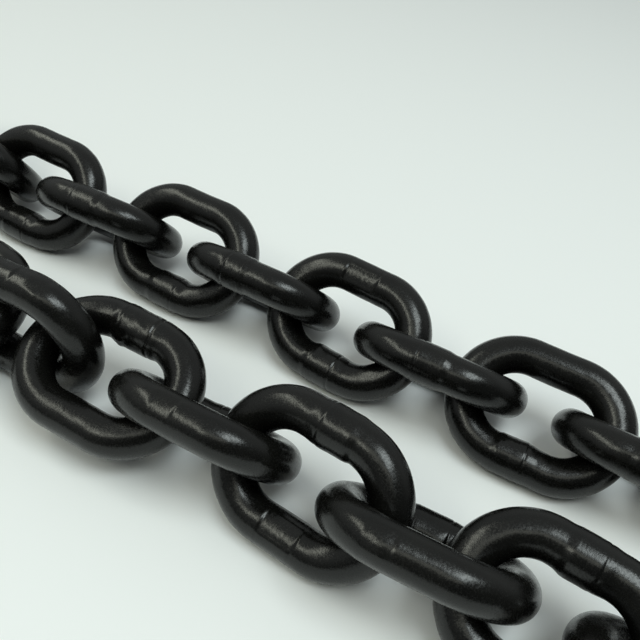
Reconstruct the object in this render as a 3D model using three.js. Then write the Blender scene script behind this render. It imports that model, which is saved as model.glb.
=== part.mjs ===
// One length of short-link lifting chain, doubled back on itself and lying on a level floor.
// Millimetres, +Z up, +X along the two runs, origin in the middle of the underside.
import * as THREE from "three";

// One link: a round bar bent into a loop with two straight legs, its ends welded butt to butt midway
// along the leg that is on the left as the chain runs.
const wireDiameter = 10;
const innerLength = 29;
const outerWidth = 37;
const weldLength = 9;
const weldSwell = 0.35;

// Facets round the bar, along each half-round crown and along the weld.
const barSides = 12;
const crownSteps = 10;
const weldSteps = 4;

// How the chain lies, seen from above: the path its crossings follow, from the free end of the
// rear run, round the bend and back to the free end of the front run.
const path = [
  [200, -8],
  [85, -10],
  [57, -11.5],
  [29, -14],
  [1, -13],
  [-28, -14.5],
  [-56, -15.5],
  [-84, -18.5],
  [-112, -19.5],
  [-138, -16],
  [-157.5, -9],
  [-182.5, -8],
  [-204.5, -21],
  [-215.5, -47],
  [-204.5, -74],
  [-178.5, -87],
  [-149.5, -83],
  [-118, -74],
  [-90, -71],
  [-62, -72.5],
  [-34, -70],
  [-6, -68],
  [22, -66.5],
  [51, -68],
  [79, -65],
  [106, -65],
  [132, -77],
  [260, -84],
];

// Lean of each link about its own length in degrees, in the order of the path.
const leans = [
  -44, 42, -39, 39, -37, 40, -46, 44, -48, 44, -53, 53,
  -50, 41, -50, 40, -52, 38, -48, 40,
  -40, 28, -85, 23, -47, 56, -41, 37, -32, 40, -42, 44,
];

// How far some links hang off the floor in their neighbours, most of all beside the upright one.
const heldUp = new Map([
  [4, 0.2], [6, 0.7], [8, 0.2], [10, 1], [12, 1.1],
  [22, 3.5], [24, 5.4], [27, 1.5], [28, 1.1],
]);

// Gap left between two links where they cross, and how far a joint is searched for it.
const crossingGap = 0.6;
const mostSlack = 9;
const slackHalvings = 16;
const centrelineSamples = 120;

const barRadius = wireDiameter / 2;
const halfFacet = Math.PI / barSides;
// The corners stand just proud of the round bar, which gives the faceted one its true section area.
const proudCorners = Math.sqrt(halfFacet / (Math.sin(halfFacet) * Math.cos(halfFacet)));
const flatShare = proudCorners * Math.cos(halfFacet);
const crownRadius = (outerWidth - wireDiameter) / 2;
const halfStraight = innerLength / 2 + barRadius - crownRadius;

// The stations of one crown, anticlockwise: where the bar's middle is and which way is outwards.
function crownStations(side, steps) {
  const stations = [];
  for (let i = 0; i <= steps; i++) {
    const angle = Math.PI * (i / steps - side / 2);
    stations.push({
      x: side * halfStraight + crownRadius * Math.cos(angle),
      y: crownRadius * Math.sin(angle),
      outX: Math.cos(angle),
      outY: Math.sin(angle),
      radius: barRadius,
    });
  }
  return stations;
}

// The stations of the weld, where the left leg swells smoothly and thins again.
function weldStations() {
  const stations = [];
  for (let i = 0; i <= weldSteps; i++) {
    const along = i / weldSteps - 0.5;
    stations.push({
      x: -weldLength * along,
      y: crownRadius,
      outX: 0,
      outY: 1,
      radius: barRadius + weldSwell * Math.cos(Math.PI * along) ** 2,
    });
  }
  return stations;
}

// A closed faceted bar through the stations, turned so that one flat of a leg faces the floor.
function linkGeometry(lean) {
  const stations = [...crownStations(1, crownSteps), ...weldStations(), ...crownStations(-1, crownSteps)];
  const firstCorner = Math.abs(lean) - Math.PI / 2 + halfFacet;
  const positions = [];
  for (const station of stations) {
    for (let k = 0; k < barSides; k++) {
      const corner = firstCorner + 2 * k * halfFacet;
      const out = station.radius * proudCorners * Math.cos(corner);
      const up = station.radius * proudCorners * Math.sin(corner);
      positions.push(station.x + out * station.outX, station.y + out * station.outY, up);
    }
  }
  const faces = [];
  for (let j = 0; j < stations.length; j++) {
    const here = j * barSides;
    const ahead = ((j + 1) % stations.length) * barSides;
    for (let k = 0; k < barSides; k++) {
      const next = (k + 1) % barSides;
      faces.push(here + k, ahead + k, ahead + next);
      faces.push(here + k, ahead + next, here + next);
    }
  }
  const geometry = new THREE.BufferGeometry();
  geometry.setAttribute("position", new THREE.Float32BufferAttribute(positions, 3));
  geometry.setIndex(faces);
  return geometry;
}

// Points along a link's centreline, for measuring how close two links come.
function centrelinePoints() {
  const perCrown = centrelineSamples / 2;
  return [...crownStations(1, perCrown), ...crownStations(-1, perCrown)].map(
    (station) => new THREE.Vector3(station.x, station.y, 0),
  );
}

// Height of a link's middle when its lower leg lies on the floor or is held just above it.
function middleHeight(index, noseUp) {
  const lean = leanAngles[index];
  const weldBelow = lean < 0 ? weldSwell * flatShare : 0;
  const legDrop = crownRadius * Math.hypot(Math.sin(noseUp), Math.sin(lean) * Math.cos(noseUp));
  const endDrop = halfStraight * Math.abs(Math.sin(noseUp));
  const lift = heldUp.get(index + 1) ?? 0;
  return legDrop + barRadius * flatShare + Math.max(endDrop, weldBelow) + lift;
}

// Each link rises or dips from the height midway to the link behind to that midway to the next.
function noseAngle(index) {
  const behind = Math.max(index - 1, 0);
  const ahead = Math.min(index + 1, leans.length - 1);
  const rise = (middleHeight(ahead, 0) - middleHeight(behind, 0)) / 2;
  return Math.atan2(rise, innerLength);
}

// A link whose tail crossing is at a given distance along the path, as a placing matrix.
function linkPlacing(index, distance) {
  const tail = route.getPointAt(distance / routeLength);
  const nose = route.getPointAt((distance + innerLength) / routeLength);
  const noseUp = noseAngle(index);
  const heading = Math.atan2(nose.y - tail.y, nose.x - tail.x);
  const turn = new THREE.Euler(leanAngles[index], -noseUp, heading, "ZYX");
  const middle = new THREE.Vector3().addVectors(tail, nose).multiplyScalar(0.5);
  middle.z = middleHeight(index, noseUp);
  return new THREE.Matrix4().makeRotationFromEuler(turn).setPosition(middle);
}

function closestApproach(placingA, placingB) {
  const pointsA = centreline.map((point) => point.clone().applyMatrix4(placingA));
  const pointsB = centreline.map((point) => point.clone().applyMatrix4(placingB));
  let closest = Infinity;
  for (const a of pointsA) {
    for (const b of pointsB) {
      closest = Math.min(closest, a.distanceToSquared(b));
    }
  }
  return Math.sqrt(closest);
}

// Slides a link back along the path until it clears the one before by the crossing gap.
function nextDistance(index, distance) {
  const before = linkPlacing(index - 1, distance);
  let touching = 0;
  let clear = mostSlack;
  for (let i = 0; i < slackHalvings; i++) {
    const slack = (touching + clear) / 2;
    const placing = linkPlacing(index, distance + innerLength - slack);
    if (closestApproach(before, placing) < wireDiameter + crossingGap) {
      touching = slack;
    } else {
      clear = slack;
    }
  }
  return distance + innerLength - clear;
}

const leanAngles = leans.map(THREE.MathUtils.degToRad);
const centreline = centrelinePoints();
const route = new THREE.CatmullRomCurve3(path.map(([x, y]) => new THREE.Vector3(x, y, 0)));
route.arcLengthDivisions = 4000;
const routeLength = route.getLength();

const chain = new THREE.Group();
chain.name = "chain";
let distance = 0;
for (let i = 0; i < leans.length; i++) {
  if (i > 0) distance = nextDistance(i, distance);
  const geometry = linkGeometry(leanAngles[i]);
  geometry.applyMatrix4(linkPlacing(i, distance));
  geometry.computeVertexNormals();
  const steel = new THREE.MeshStandardMaterial({ color: 0x1d1e1b, roughness: 0.42, metalness: 0.55 });
  const link = new THREE.Mesh(geometry, steel);
  link.name = "link_" + String(i + 1).padStart(2, "0");
  chain.add(link);
}

// The origin goes to the middle of the underside.
const extent = new THREE.Box3().setFromObject(chain);
const middle = extent.getCenter(new THREE.Vector3());
for (const link of chain.children) {
  link.geometry.translate(-middle.x, -middle.y, -extent.min.z);
}

export default chain;
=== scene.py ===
# A length of black lifting chain, doubled back on itself, lying on a pale floor.
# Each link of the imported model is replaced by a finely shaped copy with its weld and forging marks.
import math
import random

import bmesh
import bpy
import numpy as np
from mathutils import Matrix, Vector, noise


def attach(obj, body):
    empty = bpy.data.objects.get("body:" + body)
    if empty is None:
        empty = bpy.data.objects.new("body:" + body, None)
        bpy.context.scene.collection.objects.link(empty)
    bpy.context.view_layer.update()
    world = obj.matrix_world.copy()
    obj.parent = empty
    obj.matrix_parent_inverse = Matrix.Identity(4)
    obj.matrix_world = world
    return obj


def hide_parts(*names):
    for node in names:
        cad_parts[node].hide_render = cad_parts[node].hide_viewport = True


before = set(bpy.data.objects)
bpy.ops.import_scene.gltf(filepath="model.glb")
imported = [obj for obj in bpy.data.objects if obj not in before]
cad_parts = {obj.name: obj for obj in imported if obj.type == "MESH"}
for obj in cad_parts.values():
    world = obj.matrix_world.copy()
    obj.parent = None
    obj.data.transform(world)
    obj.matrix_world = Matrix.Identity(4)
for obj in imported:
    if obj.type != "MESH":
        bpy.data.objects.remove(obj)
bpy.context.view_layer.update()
mm = 0.001   # lengths in the dictionaries are millimetres

# The camera stands low at the front right and is tipped a little to the left.
view = {
    "azimuth": 25.86,
    "elevation": 38.57,
    "roll": 9.07,
    "distance": 229.7,
    "target": (2.95, 47.56, 0),
    "focalLength": 41.34,
    "sensor": 36,
}


def placeCamera():
    azimuth, elevation, roll = (math.radians(view[name]) for name in ("azimuth", "elevation", "roll"))
    back = Vector((
        math.sin(azimuth) * math.cos(elevation),
        -math.cos(azimuth) * math.cos(elevation),
        math.sin(elevation),
    ))
    level = Vector((math.cos(azimuth), math.sin(azimuth), 0))
    turn = Matrix((level, back.cross(level), back)).transposed() @ Matrix.Rotation(roll, 3, "Z")
    data = bpy.data.cameras.new("camera")
    data.sensor_fit = "HORIZONTAL"
    data.sensor_width = view["sensor"]
    data.lens = view["focalLength"]
    data.clip_start = 0.005
    data.clip_end = 20
    camera = bpy.data.objects.new("camera", data)
    place = turn.to_4x4()
    place.translation = (Vector(view["target"]) + back * view["distance"]) * mm
    camera.matrix_world = place
    bpy.context.scene.collection.objects.link(camera)
    bpy.context.scene.camera = camera


placeCamera()
print("camera placed")


def sRGB(code):
    # turns a hex colour into the linear values that Blender keeps
    channels = [int(code[i:i + 2], 16) / 255 for i in (1, 3, 5)]
    linear = [c / 12.92 if c <= 0.04045 else ((c + 0.055) / 1.055) ** 2.4 for c in channels]
    return (*linear, 1)


def addNode(tree, kind, inputs, **settings):
    # one node: its settings, then its inputs, each a value or the output it is linked from
    node = tree.nodes.new(kind)
    for name, value in settings.items():
        setattr(node, name, value)
    for name, value in inputs.items():
        if isinstance(value, bpy.types.NodeSocket):
            tree.links.new(value, node.inputs[name])
        else:
            node.inputs[name].default_value = value
    return node


def newMaterial(name):
    material = bpy.data.materials.new(name)
    material.use_nodes = True
    material.node_tree.nodes.clear()
    return material, material.node_tree


# Quenched alloy steel dipped in black lacquer: nearly black and faintly brown, a satin skin that
# breaks into fine grains wherever a lamp is mirrored, greyer where it has been rubbed.
lacquer = {
    "deepBlack": "#090908",
    "rubbedBlack": "#10100e",
    "dust": "#34332d",
    "dustCover": 0.6,     # how much of a speck the dust hides
    "grain": 0.42,        # the blasted steel's grit is about 0.2 mm, drawn coarser so that it shows
    "grainHeight": 0.04,
    "ripple": 2.6,        # slow waves where the lacquer ran
    "rippleHeight": 0.12,
    "cloud": 9.0,         # patches rubbed greyer
    "speck": 1.1,         # how far apart the specks of dust are
    "satin": (0.14, 0.31),    # roughness between the grains and on them
    "refraction": 1.43,   # a thin dull lacquer mirrors a little less than the usual 1.5
}


def perMetre(size):
    # the noise scale that makes its features about this many millimetres wide
    return 1 / (size * mm)


def lacqueredSteel():
    material, tree = newMaterial("black_lacquered_alloy_steel")
    place = addNode(tree, "ShaderNodeTexCoord", {}).outputs["Object"]
    cloud = addNode(tree, "ShaderNodeTexNoise", {
        "Vector": place, "Scale": perMetre(lacquer["cloud"]), "Detail": 4, "Roughness": 0.6,
    }).outputs["Fac"]
    grain = addNode(tree, "ShaderNodeTexNoise", {
        "Vector": place, "Scale": perMetre(lacquer["grain"]), "Detail": 3, "Roughness": 0.65,
    }).outputs["Fac"]
    ripple = addNode(tree, "ShaderNodeTexNoise", {
        "Vector": place, "Scale": perMetre(lacquer["ripple"]), "Detail": 2,
    }).outputs["Fac"]
    speck = addNode(tree, "ShaderNodeTexVoronoi", {
        "Vector": place, "Scale": perMetre(lacquer["speck"]), "Randomness": 1,
    }).outputs["Distance"]
    rubbed = addNode(tree, "ShaderNodeMapRange", {
        "Value": cloud, "From Min": 0.4, "From Max": 0.7,
    }).outputs["Result"]
    black = addNode(tree, "ShaderNodeMix", {
        "Factor": rubbed, 6: sRGB(lacquer["deepBlack"]), 7: sRGB(lacquer["rubbedBlack"]),
    }, data_type="RGBA").outputs[2]
    dusty = addNode(tree, "ShaderNodeMapRange", {
        "Value": speck, "From Min": 0.09, "From Max": 0.03, "To Max": lacquer["dustCover"],
    }).outputs["Result"]
    colour = addNode(tree, "ShaderNodeMix", {
        "Factor": dusty, 6: black, 7: sRGB(lacquer["dust"]),
    }, data_type="RGBA").outputs[2]
    between, onGrain = lacquer["satin"]
    satin = addNode(tree, "ShaderNodeMapRange", {
        "Value": grain, "From Min": 0.4, "From Max": 0.62, "To Min": between, "To Max": onGrain,
    }).outputs["Result"]
    slowBump = addNode(tree, "ShaderNodeBump", {
        "Height": ripple, "Strength": 0.35, "Distance": lacquer["rippleHeight"] * mm,
    }).outputs["Normal"]
    fineBump = addNode(tree, "ShaderNodeBump", {
        "Height": grain, "Strength": 0.6, "Distance": lacquer["grainHeight"] * mm, "Normal": slowBump,
    }).outputs["Normal"]
    skin = addNode(tree, "ShaderNodeBsdfPrincipled", {
        "Base Color": colour, "Roughness": satin, "IOR": lacquer["refraction"], "Normal": fineBump,
    })
    addNode(tree, "ShaderNodeOutputMaterial", {"Surface": skin.outputs["BSDF"]})
    return material


# One link. The bar, pitch and width are those of the solid that it replaces.
link = {
    "bar": 10,
    "pitch": 29,
    "width": 37,
    "roundBar": 56,       # faces round the bar
    "roundCrown": 64,     # faces along each crown
    "alongLeg": 60,       # faces along each straight leg
    "fineCrown": 11,      # how far from the link's middle the crown's faces are halved
    "marked": 12,         # how far along the bar from a leg's middle a weld or a flat may reach
}
crownRadius = (link["width"] - link["bar"]) / 2
halfStraight = (link["pitch"] + link["bar"]) / 2 - crownRadius

# The forged bar: long shallow waves, and each leg drawn in a little towards the other.
forging = {
    "wave": 3,
    "waveHeight": 0.04,
    "waist": (0.05, 0.2),
    "waistLength": 12,    # from the middle to where it starts
}

# The butt weld midway along the left leg. The bar is pressed thicker from the die line to the other
# end of the weld, and trimming leaves it lumpy, most of all on the inner side beside the line. The
# first number of a share is that of a smooth weld and the second is what roughness adds.
weld = {
    "swell": 0.35,
    "fade": 2.5,          # how far the thicker bar takes to thin out again
    "foot": 3.5,          # and how far on the line's other side
    "step": 0.04,         # how far the thicker bar stands above the line's other side
    "stepLength": 3,
    "before": 0.8,        # share of the swelling on that other side
    "line": 0.3,          # width of the die line
    "lineDepth": 0.2,
    "lineShare": (0.1, 0.7),
    "endDepth": 0.05,     # of the fainter line at the other end
    "wander": 0.35,       # how far the line strays from straight
    "wanderTurn": 40,     # degrees round the bar from one stray to the next
    "lump": 2.4,
    "lumpHeight": 0.07,
    "spatter": 0.8,       # fine scale and spatter, on the rougher welds only
    "spatterHeight": 0.03,
    "spatterFrom": 0.5,
    "burr": 0.35,
    "burrReach": 1.8,
    "burrShare": (0.2, 0.3),
    "innerSide": (100, 160),  # degrees round the bar where the burr starts and where it is full
}
# Where the line, the other end of the weld and the burr on its inner side are, from the middle of
# the leg towards the next link, and how rough it all is. The links whose weld the photograph shows
# have their own, the others a chance one.
weldSeen = {
    4: (-3.4, 3.8, 2, 0.3),
    5: (-1.1, 5.3, -0.6, 0.5),
    6: (4.5, -1.8, 2, 0.5),
    7: (-3.5, 3.6, 3, 0.9),
    8: (5.7, 0.5, 2, 1.2),
    9: (-5, 2, -3.5, 0.15),
    10: (3.5, -3.5, -2, 0.2),
    11: (-3.5, 3.5, -2, 0.15),
    22: (4.2, -3.5, 1, 1.1),
    24: (4.8, -4.2, -2.8, 1.5),
    26: (-1.6, 5, -0.6, 0.2),
    28: (2.6, -2.8, -2.4, 0.4),
}

# The shallow flat that a die pressed into the right leg, with a line at each end.
dieFlat = {
    "width": 5,
    "depth": 0.18,        # at its edges
    "dish": 0.25,         # how much deeper it is in the middle, where a full flat would be 0.67
    "dent": 0.8,          # size of the shallow dents in it
    "dentHeight": 0.04,
    "edge": 0.35,         # how soft its long edges are
    "endEdge": 0.7,
    "lip": 0.05,          # height of the metal pushed up along its long edges
    "line": 0.4,          # width of the line at either end
    "lineDepth": 0.12,
}
# Where it starts and ends along the leg, how many degrees round the bar from the outer side, and how
# hard the die struck.
flatSeen = {
    7: (-3.4, 6.2, 92, 1),
    23: (3.2, 10.5, 0, 0.5),
    25: (-5.8, -0.6, 24, 0.45),
    26: (-4.5, 4.4, 116, 0.8),
    27: (-9.6, -5.2, 18, 0.35),
}
noFlat = [4, 5, 6, 8, 9, 10, 11, 12, 22, 24, 28]   # the links that are kept plain there

# The chance marks of the links whose own ones the photograph doesn't show.
chance = {
    "line": (1, 5),
    "weldLength": (6, 8),
    "roughness": (0.6, 1.2),
    "flatStart": (-5, -3),
    "flatLength": (5, 9),
    "flatTowards": (20, 120),     # degrees
    "flatShare": 0.4,     # of the links
    "flatStruck": 0.7,
}

linkCount = len(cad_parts)


def plainLink():
    # a ring of the bar spun round one crown, its twin for the other, and two bridged legs
    bm = bmesh.new()
    pivot = Vector((halfStraight, 0, 0))
    start = Matrix.Translation((halfStraight, -crownRadius, 0)) @ Matrix.Rotation(math.pi / 2, 4, "Y")
    bmesh.ops.create_circle(bm, segments=link["roundBar"], radius=link["bar"] / 2, matrix=start)
    bmesh.ops.spin(
        bm, geom=bm.edges[:], cent=pivot, axis=(0, 0, 1), angle=math.pi, steps=link["roundCrown"],
    )
    twin = bmesh.ops.duplicate(bm, geom=bm.verts[:] + bm.edges[:] + bm.faces[:])["geom"]
    twinCorners = [item for item in twin if isinstance(item, bmesh.types.BMVert)]
    bmesh.ops.rotate(bm, verts=twinCorners, cent=(0, 0, 0), matrix=Matrix.Rotation(math.pi, 3, "Z"))
    for side in (-1, 1):
        rims = [e for e in bm.edges if e.is_boundary and e.verts[0].co.y * side > 0]
        bmesh.ops.bridge_loops(bm, edges=rims)
    lengthwise = [e for e in bm.edges if abs(e.verts[0].co.x - e.verts[1].co.x) > halfStraight]
    bmesh.ops.subdivide_edges(bm, edges=lengthwise, cuts=link["alongLeg"] - 1, use_grid_fill=True)
    beside = [e for e in bm.edges if runsBesideLeg(e)]
    bmesh.ops.subdivide_edges(bm, edges=beside, cuts=1, use_grid_fill=True)
    bmesh.ops.recalc_face_normals(bm, faces=bm.faces[:])
    return bm


def barMiddle(corner):
    # the middle of the bar beside a corner of the mesh, and the way outwards there
    if abs(corner.x) <= halfStraight:
        outwards = Vector((0, math.copysign(1, corner.y), 0))
        return Vector((corner.x, 0, 0)) + outwards * crownRadius, outwards
    pivot = Vector((math.copysign(halfStraight, corner.x), 0, 0))
    outwards = Vector((corner.x - pivot.x, corner.y, 0)).normalized()
    return pivot + outwards * crownRadius, outwards


def runsBesideLeg(edge):
    # whether an edge runs along the crown, not round the bar, where the crown leaves the leg
    middles = [barMiddle(vert.co)[0] for vert in edge.verts]
    furthest = max(abs(middle.x) for middle in middles)
    onCrown = halfStraight + 0.01 < furthest < link["fineCrown"]
    return onCrown and (middles[0] - middles[1]).length > 0.1


def alongBar(middle):
    # how far along the bar from the middle of its leg, over the crown too
    if abs(middle.x) <= halfStraight:
        return middle.x
    turned = math.atan2(abs(middle.x) - halfStraight, abs(middle.y))
    return math.copysign(halfStraight + crownRadius * turned, middle.x)


def smoothStep(low, high, value):
    share = min(max((value - low) / (high - low), 0), 1)
    return share * share * (3 - 2 * share)


def bell(distance, width):
    return math.exp(-(distance / width) ** 2)


def byRoughness(name, roughness):
    smooth, added = weld[name]
    return smooth + added * roughness


def weldHeight(along, around, place, span, seed):
    # how far the weld stands above the plain bar, negative in the die line
    line, end, burrAt, roughness = span
    way = math.copysign(1, end - line)
    lumps = noise.noise(place / weld["lump"] + seed) * roughness
    stray = noise.noise(Vector((around / weld["wanderTurn"], 0, 0)) + seed)
    past = (along - (line + weld["wander"] * roughness * stray)) * way
    reach = abs(end - line)
    risen = smoothStep(-weld["line"], weld["line"], past)
    within = risen * smoothStep(reach + weld["fade"], reach, past)
    before = smoothStep(-weld["foot"], -weld["line"], past) * (1 - risen)
    inner = smoothStep(*weld["innerSide"], abs(around))
    spatter = noise.noise(place / weld["spatter"] + seed) * max(roughness - weld["spatterFrom"], 0)
    height = weld["swell"] * (within + before * weld["before"])
    height += weld["step"] * within * bell(past, weld["stepLength"])
    height += (weld["lumpHeight"] * lumps + weld["spatterHeight"] * spatter) * within
    burr = weld["burr"] * inner * bell(along - burrAt, weld["burrReach"])
    height += burr * (byRoughness("burrShare", roughness) + lumps)
    dieLine = weld["lineDepth"] * bell(past, weld["line"])
    height -= dieLine * (byRoughness("lineShare", roughness) + lumps / 2)
    return height - weld["endDepth"] * bell(past - reach, weld["line"]) * (roughness + lumps)


def flatDepth(along, around, place, span, seed):
    # how far the die's flat lies under the plain bar
    start, end, towards, struck = span
    turned = math.radians(around - towards)
    sideways = link["bar"] / 2 * math.sin(turned)
    if math.cos(turned) < 0 or abs(sideways) > dieFlat["width"]:
        return 0
    edge, endEdge, halfWidth = dieFlat["edge"], dieFlat["endEdge"], dieFlat["width"] / 2
    inLength = smoothStep(start - endEdge, start + endEdge, along)
    inLength *= smoothStep(end + endEdge, end - endEdge, along)
    inWidth = smoothStep(halfWidth + edge, halfWidth - edge, abs(sideways))
    lip = dieFlat["lip"] * bell(abs(sideways) - halfWidth - edge, edge)
    lines = bell(along - start, dieFlat["line"]) + bell(along - end, dieFlat["line"])
    nearby = smoothStep(dieFlat["width"], dieFlat["width"] / 2, abs(sideways))
    dish = dieFlat["dish"] * max(0, 1 - (2 * sideways / dieFlat["width"]) ** 2)
    dents = dieFlat["dentHeight"] * noise.noise(place / dieFlat["dent"] + seed)
    pressed = (dieFlat["depth"] + dish + dents) * inWidth - lip
    return (pressed * inLength + dieFlat["lineDepth"] * lines * nearby) * struck


def chanceMarks(rng):
    line = rng.uniform(*chance["line"]) * rng.choice((-1, 1))
    end = line - math.copysign(rng.uniform(*chance["weldLength"]), line)
    weldSpan = (line, end, rng.uniform(line, end), rng.uniform(*chance["roughness"]))
    start = rng.uniform(*chance["flatStart"])
    length = rng.uniform(*chance["flatLength"])
    flatSpan = (start, start + length, rng.uniform(*chance["flatTowards"]), chance["flatStruck"])
    return weldSpan, flatSpan if rng.random() < chance["flatShare"] else None


def shapedLink(bm, number):
    # moves each corner in or out from the bar's middle: the waves, the weld and the die's flat
    seed = Vector((7.3 * number, 3.1 * number, 1.7 * number))
    rng = random.Random(number)
    chanceWeld, chanceFlat = chanceMarks(rng)
    weldSpan = weldSeen.get(number, chanceWeld)
    flatSpan = None if number in noFlat else flatSeen.get(number, chanceFlat)
    waists = [rng.uniform(*forging["waist"]) for leg in range(2)]
    for vert in bm.verts:
        middle, outwards = barMiddle(vert.co)
        away = (vert.co - middle).normalized()
        around = math.degrees(math.atan2(away.z, away.dot(outwards)))
        along = alongBar(middle)
        onLeft = middle.y > 0
        height = noise.noise(vert.co / forging["wave"] + seed) * forging["waveHeight"]
        if onLeft and abs(along) < link["marked"]:
            height += weldHeight(along, around, vert.co, weldSpan, seed)
        if not onLeft and flatSpan and abs(along) < link["marked"]:
            height -= flatDepth(along, around, vert.co, flatSpan, seed)
        waistShape = math.cos(math.pi / 2 * min(abs(vert.co.x) / forging["waistLength"], 1)) ** 2
        drawnIn = waists[onLeft] * waistShape
        vert.co = middle + away * (link["bar"] / 2 + height) - outwards * drawnIn


def nodeName(number):
    return f"link_{number:02d}"


def linkAxes(number):
    # a link's middle, its own length and the way its face looks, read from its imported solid
    corners = np.array([vert.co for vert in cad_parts[nodeName(number)].data.vertices])
    spread = corners - corners.mean(axis=0)
    axes = np.linalg.eigh(spread.T @ spread)[1]
    inCrown = np.abs(spread @ axes[:, 2]) > (halfStraight + 1) * mm
    return Vector(corners[inCrown].mean(axis=0)), Vector(axes[:, 2]), Vector(axes[:, 0])


def linkPlace(number, middles):
    # +X along the chain, +Y to the left of it and +Z up out of the link's face
    middle, along, face = linkAxes(number)
    ahead = middles[min(number + 1, linkCount)] - middles[max(number - 1, 1)]
    if along.dot(ahead) < 0:
        along = -along
    if face.z < 0:
        face = -face
    place = Matrix((along, face.cross(along), face)).transposed().to_4x4()
    place.translation = middle
    return place


def makeLinks(material):
    middles = {number: linkAxes(number)[0] for number in range(1, linkCount + 1)}
    for number in range(1, linkCount + 1):
        bm = plainLink()
        shapedLink(bm, number)
        place = linkPlace(number, middles) @ Matrix.Scale(mm, 4)
        bmesh.ops.transform(bm, verts=bm.verts[:], matrix=place)
        mesh = bpy.data.meshes.new(f"welded_link_{number:02d}")
        bm.to_mesh(mesh)
        bm.free()
        mesh.shade_smooth()
        mesh.materials.append(material)
        piece = bpy.data.objects.new(mesh.name, mesh)
        bpy.context.scene.collection.objects.link(piece)
        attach(piece, "root")
        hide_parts(nodeName(number))


makeLinks(lacqueredSteel())
print(f"{linkCount} links made")


# A white laminated table top, faintly cool and matt.
floor = {
    "size": 6000,
    "colour": "#f4f6f6",
    "roughness": 0.6,
}


def makeFloor():
    material, tree = newMaterial("white_matt_laminate")
    skin = addNode(tree, "ShaderNodeBsdfPrincipled", {
        "Base Color": sRGB(floor["colour"]), "Roughness": floor["roughness"],
    })
    addNode(tree, "ShaderNodeOutputMaterial", {"Surface": skin.outputs["BSDF"]})
    bm = bmesh.new()
    bmesh.ops.create_grid(bm, x_segments=1, y_segments=1, size=floor["size"] / 2 * mm)
    mesh = bpy.data.meshes.new("floor")
    bm.to_mesh(mesh)
    bm.free()
    mesh.materials.append(material)
    piece = bpy.data.objects.new("floor", mesh)
    bpy.context.scene.collection.objects.link(piece)


makeFloor()
print("floor laid")

# Oblong softboxes overhead: a cool one to the right, and a warm strip to the left and nearer the
# camera, which goes on round the front much fainter. The level side of each is horizontal and the
# steep one stands up from it.
lamps = {
    "cool": {
        "towards": (0.36, -0.1, 0.93), "away": 1200, "level": 660, "steep": 380, "watts": 6.8,
        "colour": "#e9f4f3",
    },
    "warm": {
        "towards": (-0.5, -0.34, 0.79), "away": 1200, "level": 1400, "steep": 200, "watts": 4.5,
        "colour": "#f6f9e9",
    },
    "front": {
        "towards": (0.08, -0.58, 0.81), "away": 1200, "level": 800, "steep": 240, "watts": 0.9,
        "colour": "#f6f9e9",
    },
}
# The room is dark low down and at the front right, paler higher up on every other side.
room = {
    "dark": "#4e5150",
    "pale": "#a9aeac",
    "ceiling": "#b2b7b5",
    "paleSide": (-0.75, 0.66, 0),
    "around": (-0.85, 0),     # from where the walls are dark to where they are pale
    "lowShare": 0.25,         # how much of that shows at the floor
    "paleUp": 0.5,            # height, as a share of straight up, where all of it shows
    "overhead": (0.7, 0.97),  # and from where to where the walls turn into the ceiling
}


def lightRoom():
    for name, lamp in lamps.items():
        data = bpy.data.lights.new(name, "AREA")
        data.shape = "RECTANGLE"
        data.size = lamp["level"] * mm
        data.size_y = lamp["steep"] * mm
        data.energy = lamp["watts"]
        data.color = sRGB(lamp["colour"])[:3]
        towards = Vector(lamp["towards"]).normalized()
        place = towards.to_track_quat("Z", "Y").to_matrix().to_4x4()
        place.translation = towards * lamp["away"] * mm
        light = bpy.data.objects.new(name, data)
        light.matrix_world = place
        bpy.context.scene.collection.objects.link(light)
    world = bpy.data.worlds.new("room")
    world.use_nodes = True
    tree = world.node_tree
    tree.nodes.clear()
    towards = addNode(tree, "ShaderNodeTexCoord", {}).outputs["Generated"]
    height = addNode(tree, "ShaderNodeSeparateXYZ", {"Vector": towards}).outputs["Z"]
    sideways = addNode(tree, "ShaderNodeVectorMath", {
        0: towards, 1: room["paleSide"],
    }, operation="DOT_PRODUCT").outputs["Value"]
    paleAround = addNode(tree, "ShaderNodeMapRange", {
        "Value": sideways, "From Min": room["around"][0], "From Max": room["around"][1],
    }, interpolation_type="SMOOTHSTEP").outputs["Result"]
    paleUp = addNode(tree, "ShaderNodeMapRange", {
        "Value": height, "From Min": 0, "From Max": room["paleUp"], "To Min": room["lowShare"],
    }, interpolation_type="SMOOTHSTEP").outputs["Result"]
    pale = addNode(tree, "ShaderNodeMath", {0: paleAround, 1: paleUp}, operation="MULTIPLY").outputs[0]
    walls = addNode(tree, "ShaderNodeMix", {
        "Factor": pale, 6: sRGB(room["dark"]), 7: sRGB(room["pale"]),
    }, data_type="RGBA").outputs[2]
    overhead = addNode(tree, "ShaderNodeMapRange", {
        "Value": height, "From Min": room["overhead"][0], "From Max": room["overhead"][1],
    }, interpolation_type="SMOOTHSTEP").outputs["Result"]
    colour = addNode(tree, "ShaderNodeMix", {
        "Factor": overhead, 6: walls, 7: sRGB(room["ceiling"]),
    }, data_type="RGBA").outputs[2]
    background = addNode(tree, "ShaderNodeBackground", {"Color": colour})
    addNode(tree, "ShaderNodeOutputWorld", {"Surface": background.outputs["Background"]})
    bpy.context.scene.world = world
    bpy.context.scene.view_settings.view_transform = "Standard"


lightRoom()
print("lamps on")
